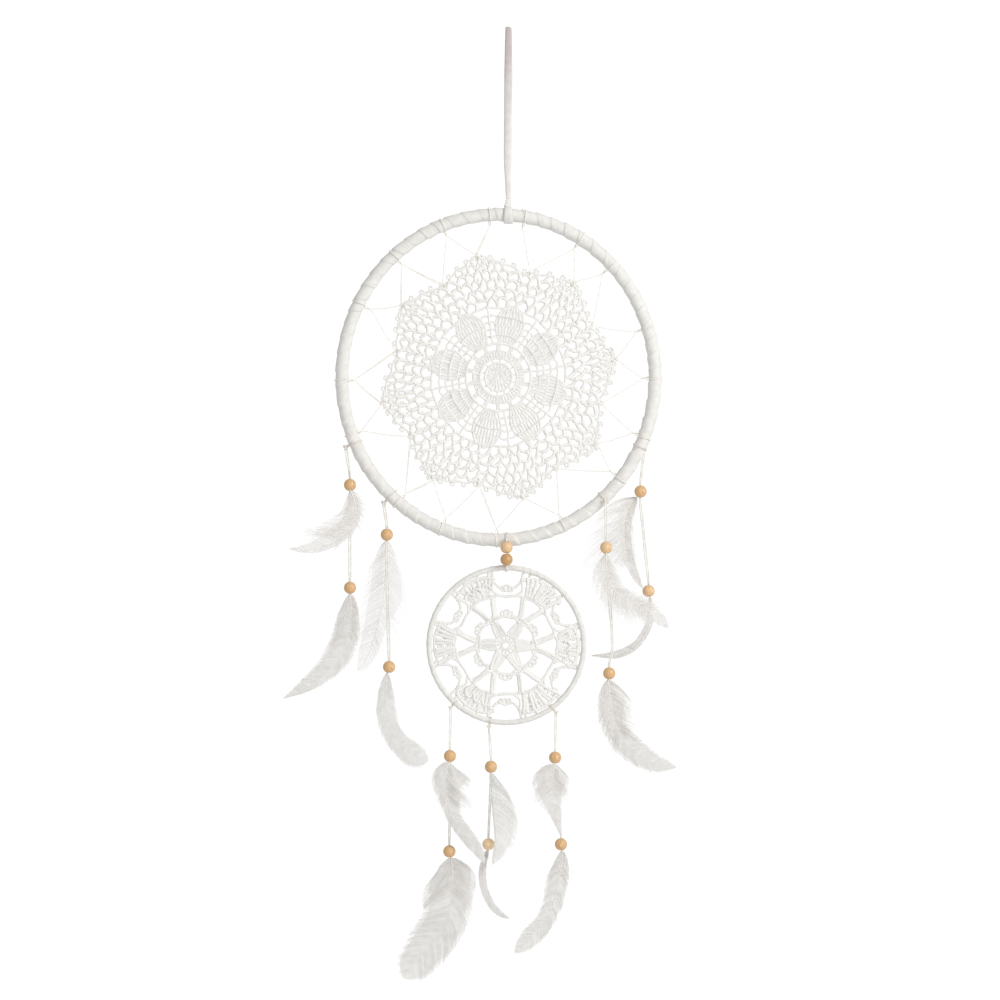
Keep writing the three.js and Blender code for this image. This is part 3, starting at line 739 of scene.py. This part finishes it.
def small_doily():
    """A ring and a six-armed star inside two rings, with fans and open arches out to the hoop."""
    lace, fans = Crochet(SMALL, 1.12), Crochet(SMALL, 1.2)
    lace.ring(2.6, 8, 1.0)
    lace.posts(3.2, 6.0, 12, 0, 1.0)
    lace.ring(6.6, 18, 1.0)
    for k in range(6):
        arm = 60 * k - 1 + rng.normal(0, 1.2)
        window = 60 * k + 29
        # an arm of the star: long stitches from the ring that close to a point
        for spread in (-1, -0.6, -0.2, 0.2, 0.6, 1):
            lace.stitch([6.8, 12.0, 18.4], arm + np.array([28, 14, 4.5]) * spread, 1.1, 0.3 * spread)
        for side in (-1, 1):
            lace.stitch([16.6, 17.8, 18.6], arm + side * np.array([2, 9, 18]), 0.85, -0.2)
            # thick bars between the two rings
            lace.stitch([20.4, 26, 33.0], arm + side * np.array([4.5, 8.5, 12.0]), 1.4)
            lace.stitch([20.2, 26.4, 33.2], arm + side * np.array([8.0, 11.4, 14.6]), 1.35, 0.3)
        cluster(fans, 21.2, window, 3.0)
        cluster(fans, 37.6, window, 3.0)
        # the fan from the second ring to the hoop, dense, with small eyes
        for spread in np.linspace(-1, 1, 9):
            directions = arm + spread * np.array([11.0, 13.5, 16.0]) + rng.normal(0, 0.8)
            fans.stitch([34.6, 40.6, 46.6], directions, 1.25, 0.25 * (-1) ** k)
        for spread in (-0.72, -0.1, 0.5):
            fans.stitch([38.6, 41.0, 42.4, 41.0], arm + 15 * spread + np.array([-3, -1, 2.5, 5]), 0.95, -0.3)
        fans.stitch([44.0, 46.6, 47.4, 47.4, 46.6, 44.0], arm + np.array([-19, -12, -4, 4, 12, 19]), 1.1)
        for spread in rng.uniform(-1, 1, 5):
            fans.knob(rng.uniform(38.5, 45.5), arm + 13 * spread, 1.5, 0.3)
        for side in (-1, 1):
            fans.stitch([46.0, 49.0], arm + side * np.array([14, 15]))
            fans.stitch([46.5, 49.2], arm + side * np.array([5, 6]))
        fans.stitch(np.full(5, 38.4), arm + np.array([-13, -6.5, 0, 6.5, 13]), 0.9, 0.3)
        # the open arch that hangs in from the hoop
        swing = np.array([-12.5, -12.0, -8.5, 0, 8.5, 12.0, 12.5])
        lace.stitch([49.0, 43.6, 38.8, 36.9, 38.8, 43.6, 49.0], window + swing, 1.05, 0.15)
        for side in (-1, 1):
            lace.stitch([33.4, 36.6, 40.2, 43.8], window + side * np.array([10, 15, 14.5, 12.5]), 0.95, -0.2)
    # the two rings, drawn in a little at six places
    for radius, dip, count, size in ((19.9, 1.0, 36, 1.08), (34.0, 1.8, 60, 1.05)):
        degrees = np.linspace(0, 360, count + 1)[:-1]
        corner = np.abs(((degrees + 30) % 60) - 30) / 30
        lace.stitch(radius - dip * corner, degrees, size, closed=True, jitter=0.3)
    piece = lace.build("small_doily_lace", COTTON, "small_hoop", ["small_doily"], "crochet")
    fans.build("small_doily_fans", COTTON, "small_hoop", slot="crochet")


def cluster(lace, radius, degrees, size):
    """A picot of three small loops that crowd together."""
    lace.knob(radius, degrees, 0.62 * size)
    for side in (-1, 1):
        lace.knob(radius - 0.4, degrees + side * 0.85 * size / radius / DEGREE, 0.5 * size, 0.2 * side)


large_doily()
small_doily()


# ---- lacing

# Where the lacing goes round the hoop and where it catches the doily, in degrees; which threads are double.
STATIONS = [
    93.3, 110.9, 131.7, 153, 181, 200.5, 230.1, 248.7, 269.3, 294.7, 321.2, 338.4, 359.6, 377.5, 403.5, 418.3,
    440.3,
]
CATCHES = [100.5, 122, 144.5, 166, 192, 212.7, 236, 259.5, 282.4, 303.3, 327, 346, 368.5, 387.5, 410.5, 433]
DOUBLED = [1, 2, 5, 6, 9, 10, 13, 14]


def lacing():
    """Thread in from the doily's edge, round the hoop and back, station by station."""
    thread = Surface()
    turns = np.array([25, 60, 90, 115, 140, 180, 215, 250, 285, 315, 335]) * DEGREE
    reach = LARGE["tube"] + 0.45 * MM
    ends = []
    for station in STATIONS:
        outward, along = hoop_axes(LARGE, station)
        centre = hoop_line(LARGE, station)
        shift = (np.linspace(-0.75, 0.75, len(turns)) * MM)[:, None] * along
        loop = round_line(centre, -reach, turns, outward) + shift
        stem = centre - (LARGE["tube"] + rng.uniform(2.6, 4.4) * MM) * outward
        ends.append(stem)
        thread.yarn(smooth(np.vstack([stem, loop, stem + 0.3 * MM * along]), 0.7 * MM), 0.46 * MM, 1.8 * MM, 4)
        knot = stem + 0.25 * MM * along
        thread.tube(smooth([knot + 0.9 * MM * outward, knot - 0.7 * MM * outward], 0.4 * MM), 0.62 * MM, 6)
    for i, catch in enumerate(CATCHES):
        place = polar(LARGE, star_edge(catch) + 0.4, catch, -0.3)
        _, along = hoop_axes(LARGE, catch)
        for side, stem in ((-0.5, ends[i + 1]), (0.5, ends[i])):
            sag = (place + stem) / 2 - rng.uniform(0.1, 0.8) * MM * UP
            for k in range(2 if 2 * i + (side > 0) in DOUBLED else 1):
                offset = along * (side * 1.2 + k * 1.3) * MM
                thread.yarn(smooth([stem, sag + 0.6 * offset, place + offset], 0.8 * MM), 0.44 * MM, 1.8 * MM, 4)
        radii = star_edge(catch) + np.array([0.6, -1.2, -2.0, -1.2, 0.6])
        lifts = np.array([-0.8, -1.3, 0.0, 1.2, 0.6])
        hook = polar(LARGE, radii, catch + np.array([-0.6, -0.9, 0, 0.9, 0.6]), lifts)
        thread.yarn(smooth(hook, 0.6 * MM), 0.44 * MM, 1.8 * MM, 4)
    thread.build("lacing_yarn", LACING_PAINTED_LIGHTER, "large_hoop", ["lacing_thread"], "thread")


lacing()


# ---- hanging lace and its hitch

def strap(surface, line, half_width, thick, face):
    """A soft flat strip along a line; face is the direction its front looks in."""
    tangent = unit(np.gradient(line, axis=0))
    across = unit(np.cross(tangent, face))
    normal = unit(np.cross(across, tangent))
    u = np.concatenate([np.linspace(-1, 1, 9), np.linspace(1, -1, 9)])
    v = np.concatenate([np.full(9, 1.0), np.full(9, -1.0)])
    pinch = np.where(np.abs(u) > 0.99, 0.35, 1.0)
    half_width = np.broadcast_to(half_width, len(line))[:, None, None]
    curl = 0.12 * thick * np.cos(math.pi * u)[None, :, None] * normal[:, None]
    wide = across[:, None] * u[None, :, None] * half_width
    deep = normal[:, None] * (v * pinch)[None, :, None] * thick / 2
    surface.grid(line[:, None] + (wide + deep) + curl, wrap=True)


def hanging_lace():
    """The strip folded over its hook, its two legs hanging together."""
    eye, thick = 3.2 * MM, 1.2 * MM
    arc = np.linspace(0, math.pi, 13)
    over = xyz(0 * arc, np.cos(arc) * (eye + 0.6 * MM), np.sin(arc) * (eye + 0.6 * MM) - eye)
    back = np.array([[0, 0.66, -112.3], [0, 0.66, -80], [0, 0.7, -50], [0, 0.75, -28], [0, 2.4, -14]]) * MM
    front = back[::-1] * [1, -1, 1]
    line = smooth(np.vstack([back, over, front]), 1.2 * MM)
    height = line[:, 2]
    line[:, 0] += np.interp(height, [-0.111, -0.09, -0.06, -0.03, 0], [0.1, -0.5, -0.35, -0.1, 0]) * MM
    half = np.interp(height, [-0.112, -0.1, -0.085, -0.03, -0.01, 0.0], [1.75, 2.1, 2.6, 2.65, 2.3, 2.0]) * MM
    facing = unit(np.cross(np.gradient(line, axis=0), RIGHT))
    facing = facing + 0.22 * np.sin(height[:, None] / 0.026 + 0.6) * RIGHT
    lace = Surface()
    strap(lace, line, half, thick, facing)
    lace.build("hanger_strip", RIBBON, "hanger", ["hanger_lace"], "lace")


def hitch():
    """The strip's turns round the hoop, and the fold that they cross under."""
    centre = hoop_line(LARGE, 86.4)
    _, along = hoop_axes(LARGE, 86.4)
    tie = Surface()
    for shift, lean in ((-0.55, 0.5), (0.75, -0.35)):
        a = np.linspace(0.35, TAU - 0.35, 40)
        ring = round_line(centre, LARGE["tube"] + 1.0 * MM, a, UP, -BACK)
        slant = (shift + lean * np.cos(a)) * MM
        strap(tie, ring + slant[:, None] * along, 2.1 * MM, 1.0 * MM, unit(ring - centre))
    # the fold where the legs come out from between the turns
    for side in (-1, 1):
        steps = [[0.1, 0.62, -112.9], [0.0, 1.0, -114.6], [-0.4, 1.5, -116.4], [-0.7, 1.9, -118.0]]
        line = smooth(np.array(steps) * [1, -side, 1] * MM, 0.5 * MM)
        facing = np.tile([0.18, -1.0 * side, 0.0], (len(line), 1))
        strap(tie, line, np.linspace(1.8, 2.3, len(line)) * MM, 1.15 * MM, facing)
    tie.build("hanger_knot", SUEDE, "hitch", ["hanger_hitch"], "lace")


hanging_lace()
hitch()


# ---- the link between the hoops

def link():
    """The two beads between the hoops, and the cord's loops round each hoop."""
    x, y = -1.3 * MM, -8.9 * MM
    upper, lower = np.array([x, y, -342.8 * MM]), np.array([x, y, -351.1 * MM])
    bottom, top = LARGE["at"][2] - LARGE["rz"], SMALL["at"][2] + SMALL["rz"]
    loop, tie = Surface(), Surface()
    for side in (-0.5, 0.5):
        shift = side * MM
        a = np.linspace(-0.9, TAU - 1.3, 46)
        ring = round_line(np.array([x, 0, bottom]), LARGE["tube"] + 0.6 * MM, a, -BACK, UP)
        ring[:, 0] += shift
        knee, hip = [x + shift, -7.2 * MM, bottom + 1.2 * MM], [x + 0.4 * side * MM, y, bottom]
        stem = smooth([ring[0], knee, hip, upper + 2 * MM * UP, upper - 3.6 * MM * UP], 0.5 * MM)
        loop.yarn(ring, 0.42 * MM, 2.0 * MM, 5)
        loop.yarn(stem, 0.42 * MM, 2.0 * MM, 5)
    loop.build("link_loop_upper", THREAD, "link_upper", ["link_cord_upper"], "thread")
    for side in (-0.45, 0.45):
        a = np.linspace(0, TAU, 34)
        ring = round_line(np.array([x, SMALL["at"][1], top]), SMALL["tube"] + 0.6 * MM, a, -BACK, UP)
        ring[:, 0] += side * MM
        knee = [x + 0.5 * side * MM, -8.2 * MM, top - 0.4 * MM]
        stem = smooth([lower + 3.4 * MM * UP, lower, lower - 4 * MM * UP, knee, ring[0]], 0.5 * MM)
        tie.yarn(ring, 0.42 * MM, 2.0 * MM, 5)
        tie.yarn(stem, 0.42 * MM, 2.0 * MM, 5)
    tie.build("link_loop_lower", THREAD, "link_lower", ["link_cord_lower"], "thread")
    bead("link_ball_upper", upper - 0.12 * MM * UP, "link_upper", "link_bead_upper", 1)
    # tone 2: darker wood with painted shade from the bead above
    bead("link_ball_lower", lower + 0.12 * MM * UP, "link_lower", "link_bead_lower", 2)


link()


# ---- feathers

# Where the quill leaves its bead (x, mm), then rows of x, z, width to the left and to the right, in mm from
# the bead, down the quill to the tip; then the lean out of the plane, and how much of the length is down.
FEATHERS = {
    "a_upper": (0, [(2.5, -9, 5, 4.5), (3.5, -16, 9, 4.5), (2, -26, 13, 3.5), (-4, -33, 15, 3.5),
        (-12, -38.5, 15, 3.2), (-22, -42.2, 10, 2.8), (-31, -43, 4, 2), (-40, -42, .3, .3)], -0.12, 0.5),
    "a_lower": (0, [(.5, -10, 5, 4), (0.5, -20, 9.5, 6), (-1, -32, 11, 7), (-6, -45, 11.5, 7.5),
        (-17, -58, 9.5, 5), (-30, -67, 6.5, 2.5), (-44, -73, .3, .3)], -0.04, 0.3),
    "b_upper": (0, [(-.5, -14, 8, 7), (-1, -28, 13, 12), (-2.5, -42, 14, 17), (-4, -50, 14, 18.5),
        (-5.5, -57, 13, 13), (-8, -66, 11.5, 8), (-12, -78, 9, 6.5), (-16, -86, 6, 5),
        (-20, -91, .3, .3)], 0.14, 0.7),
    "b_lower": (-1, [(-2, -12, 4, 4), (-2, -21, 6, 6), (-1, -31, 7.5, 6.5), (2, -42, 8, 6),
        (8, -51, 8, 7), (15, -57, 9, 8), (20.5, -59.5, 8, 7), (24, -61, 5.5, 4.5),
        (26.3, -62, .4, .4)], -0.04, 0.2),
    "c_upper": (0, [(0, -10, 5, 4), (1, -18, 11, 7), (5, -28, 12, 7), (14, -35, 11, 6),
        (24, -39, 8, 6), (33, -45, 6, 5), (38, -50, 3, 3), (41, -53, .3, .3)], -0.14, 0.7),
    "c_lower": (-1, [(0, -11, 6, 8), (1, -20, 9, 13.5), (2.5, -28, 10, 12), (5, -36, 9.5, 7),
        (13, -48, 9, 9), (27, -58, 7, 7.5), (37, -60.5, 4, 4.5), (44, -61.5, .3, .3)], -0.1, 0.45),
    "d_upper": (-2, [(-6, -10, 9, 3), (-9, -17, 19, 4), (-10, -28, 21, 4), (-9, -38, 10, 4),
        (-7, -48, 3.5, 4), (-2, -58, 2.5, 2.5), (2, -65, .3, .3)], 0.14, 0.6),
    "d_lower": (1, [(0.8, -13, 1.6, 1.6), (0, -23, 2.5, 2.5), (-8, -36, 3, 2.5), (-21, -43, 3.5, 2),
        (-38, -43, .3, .3)], 0.16, 0.1),
    "e_upper": (0, [(-2, -8, 6, 12), (-3, -15, 9.5, 17), (-2.5, -22, 8, 16), (-1.5, -28, 6, 9),
        (2, -40, 4.5, 6), (9, -50, 4.5, 5.5), (16, -58, 4.5, 4.5), (21, -66, 2.5, 2.5),
        (23, -70, .3, .3)], -0.12, 0.35),
    "e_lower": (1, [(1.5, -9, 8, 10), (2, -18, 13, 16), (1, -29, 19, 15), (0, -42, 18, 14),
        (-6, -54, 17, 14), (-14, -64, 16, 14), (-21, -72, 13, 13), (-26, -78.5, 11, 11),
        (-29, -82.5, 6, 6), (-30.5, -84.5, .4, .4)], 0.05, 0.25),
    "f_upper": (0, [(.4, -11, .9, 6), (1, -20, 1, 11.5), (2.4, -35, 1, 15.5), (3.4, -48, 1, 13),
        (2.4, -58, 1.4, 6), (1, -64, .3, .3)], -0.12, 0.15),
    "f_lower": (0, [(-2.5, -10, 1.8, 1.8), (-4, -18, 2.6, 2.6), (-3, -29, 2.6, 2.6), (2, -40, 2.5, 2.5),
        (8, -46, 2, 2), (14, -49, .3, .3)], 0.0, 0.1),
    "g_upper": (0, [(-1, -8, 9, 7), (-1.5, -14, 13.5, 11), (-1.5, -20, 13.5, 10.5), (-1.5, -26, 11, 7.5),
        (-.5, -32, 8, 5), (1, -38, 4.5, 3.5), (2.2, -44, 2.5, 2), (3, -50, .3, .3)], -0.12, 0.35),
    "g_lower": (1, [(0.5, -12, 5, 4.5), (-1, -22, 8, 6.5), (-3, -31, 8.5, 6.5), (-5, -39, 7.5, 6.5),
        (-11, -51, 6.5, 6.5), (-19, -60, 7, 7), (-26, -67, 5, 5), (-31, -71.5, .4, .4)], -0.04, 0.2),
}


def ribbon_strips(surface, lines, widths, scatter):
    """Many thin strips that face about forwards: lines is strip by point by xyz, widths strip by point."""
    strips, count = lines.shape[:2]
    facing = np.broadcast_to(rng.normal(0, scatter, (strips, 1, 3)) - BACK, lines.shape)
    edge = unit(np.cross(unit(np.gradient(lines, axis=1)), facing)) * widths[..., None] / 2
    both = np.stack([lines - edge, lines + edge], axis=2)
    index = np.arange(strips * count * 2).reshape(strips, count, 2)
    quads = np.stack([index[:, :-1, 0], index[:, :-1, 1], index[:, 1:, 1], index[:, 1:, 0]], axis=-1)
    surface.add(both, quads.reshape(-1, 4))


# What each feather's barbs look like where they are not plain, and how loose they are, from 0 to 1.
BARB_LOOKS = {"a_upper": FLUFF, "b_upper": FAINT, "b_lower": PALE, "c_upper": FLUFF, "d_upper": FLUFF,
              "f_upper": PALE}
FLUFFY = {"a_upper": 0.6, "b_upper": 0.38, "c_upper": 0.55, "c_lower": 0.3, "d_upper": 0.85, "e_upper": 0.15,
          "f_upper": 0.12, "g_upper": 0.15}


def feather(key, place, body, clear):
    """A quill with two webs of barbs, finer barbs over them, and loose down at the base."""
    start, rows, lean, downy = FEATHERS[key]
    fluffy = FLUFFY.get(key, 0.2)
    share = 0.4 if key == "b_upper" else 1  # of the barbs and hairs
    rows = np.array([(start, -3, .4, .4), *rows]) * MM
    side_sign = np.sign(lean)
    depth = clear * side_sign + rows[:, 1] * -abs(lean) * side_sign
    bow = -0.03 * (rows[:, 1] / rows[-1, 1]) ** 2 * abs(rows[-1, 1])
    spine = xyz(rows[:, 0], depth + bow, rows[:, 1])
    quill = smooth(spine, 0.7 * MM)
    s = lengths(quill)
    total = s[-1]
    knots = lengths(spine) / lengths(spine)[-1] * total
    widths = [smooth(xyz(knots, rows[:, k], 0 * knots), 0.7 * MM) for k in (2, 3)]
    widths = [np.interp(s, w[:, 0], np.maximum(w[:, 1], 0.3 * MM)) for w in widths]
    tangent = unit(np.gradient(quill, axis=0))
    left = unit(xyz(tangent[:, 2], 0 * s, -tangent[:, 0]))

    def at(values, t):
        """What is given along the quill, at other distances down it."""
        if values.ndim == 1:
            return np.interp(t, s, values)
        return np.stack([np.interp(t, s, column) for column in values.T], axis=-1)

    def barbs(ends, sign, w, sweep, u):
        """Barbs that leave the quill and bend towards its tip: (barb, point, xyz)."""
        root_at = np.clip(ends - sweep * w - 1.2 * MM, 1 * MM, total)
        root, tip = at(quill, root_at), at(quill, ends) + sign * at(left, ends) * w[:, None]
        control = root + sign * at(left, root_at) * (0.58 * w)[:, None]
        control = control + at(tangent, root_at) * (0.34 * sweep * w)[:, None]
        root, control, tip = root[:, None], control[:, None], tip[:, None]
        v = u[None, :, None]
        line = (1 - v) ** 2 * root + 2 * v * (1 - v) * control + v**2 * tip
        line[..., 1] += 0.10 * w[:, None] * v[..., 0] ** 2
        return line

    vane, shaft, stem_look = Surface(), Surface(), QUILL
    for sign, width in zip((1, -1), widths):
        splits = rng.uniform(0.25, 0.9, 1 if fluffy > 0.5 else 2)
        drift_at, drift = np.linspace(0, total, 22), rng.normal(0, 1, 22)

        def sweep_at(ends):
            """How far the barbs there lean towards the tip, with a kink at each split."""
            torn = sum(np.tanh((ends / total - c) / 0.008) * np.exp(-abs(ends / total - c) / 0.05) for c in splits)
            return 0.95 + 0.05 * np.interp(ends, drift_at, drift) - 0.10 * torn

        # the web, close to the quill
        count = 150
        ends = np.linspace(1.5 * MM, total, count)
        w = at(width, ends)
        reach = 0.88 - 0.75 * fluffy * np.interp(ends / total, [0, 0.5, 1], [1, 0.9, 0.1])
        reach = np.where(w < 4.3 * MM, 0.9, reach)
        u = np.linspace(0, 1, 7)
        web = np.stack([barbs(ends, sign, w, sweep_at(ends), u * r)[i] for i, r in enumerate(reach)])
        web[..., 1] += 0.05 * MM * rng.normal(0, 1, (count, 1)) * u
        narrow = w.max() < 4.6 * MM
        (shaft if narrow else vane).grid(web)
        stem_look = DOWN if narrow else stem_look
        # loose barbs over it
        count = int(share * total / ((0.17 + 0.10 * fluffy) * MM))
        ends = np.sort(rng.uniform(1.5 * MM, total, count))
        w = at(width, ends) * (1 - np.abs(rng.normal(0, 0.05 + 0.13 * fluffy, count)) + 0.05 * fluffy)
        sweep = sweep_at(ends) + rng.normal(0, 0.03 + 0.14 * fluffy, count)
        line = barbs(ends, sign, w, sweep, np.linspace(0, 1, 8))
        u = np.linspace(0, 1, 8)[None, :]
        line[..., 1] += rng.normal(0, 0.012 + 0.035 * fluffy, (count, 1)) * w[:, None] * u**1.5
        curl = rng.normal(0, 0.035 * fluffy, (count, 1, 3)) * w[:, None, None]
        curl = curl * np.sin(u * rng.uniform(2, 6, (count, 1)))[..., None]
        line = line + curl * u[..., None]
        thick = (0.36 - 0.22 * u) * MM * (1 - 0.45 * fluffy) * np.ones((count, 1))
        ribbon_strips(vane, line, thick, 0.10)

    # down: long curly hairs near the base
    hairs = int(share * (500 + 900 * fluffy) * downy * total / (60 * MM)) + 60
    v = np.linspace(0, 1, 9)[None, :, None]
    root_at = rng.uniform(0.02, downy + 0.1 * fluffy, hairs) * total
    sign = rng.choice([-1.0, 1.0], hairs)
    w = np.where(sign > 0, at(widths[0], root_at), at(widths[1], root_at)) + 1.0 * MM
    reach = w * rng.uniform(0.5, 0.85 + 0.5 * min(1, fluffy / 0.6), hairs)
    out = sign[:, None] * at(left, root_at) + rng.normal(0, 0.14, (hairs, 3))
    line = at(quill, root_at)[:, None] + unit(out)[:, None] * reach[:, None, None] * v
    line = line + at(tangent, root_at)[:, None] * reach[:, None, None] * (0.6 * v + 0.3 * v**2)
    wave = np.sin(v * rng.uniform(3, 8, (hairs, 1, 1)) + rng.uniform(0, 6, (hairs, 1, 1)))
    line = line + wave * rng.normal(0, 0.5 * MM, (hairs, 1, 3)) * v
    thick = (0.20 - 0.10 * v[..., 0]) * MM * np.ones((hairs, 1))
    ribbon_strips(vane, line, thick, 0.18)
    strand, level = key.split("_")
    vane.build(f"strand_{strand}_vane_{level}", BARB_LOOKS.get(key, DOWN), body,
               [f"strand_{strand}_feather_{level}"], "feather", place)
    shaft.tube(quill, np.interp(s / total, [0, 0.15, 1], [0.42, 0.24, 0.08]) * MM, 6, BACK)
    shaft.build(f"strand_{strand}_quill_{level}", stem_look, body, slot="feather", at=place)


for key in FEATHERS:
    strand, level = key.split("_")
    _, upper, lower = strand_points(strand)
    body = f"strand_{strand}" if level == "upper" or strand in ONE_PIECE else f"strand_{strand}_tail"
    feather(key, upper if level == "upper" else lower, body, (1.6 if level == "upper" else 0.0) * MM)


# ---- carried-over CAD nodes

for node, material in (("large_hoop_core", RATTAN), ("small_hoop_core", STEEL)):
    core = next(o for o in bpy.context.scene.objects if o.get("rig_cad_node") == node)
    core.data.materials.clear()
    core.data.materials.append(material)
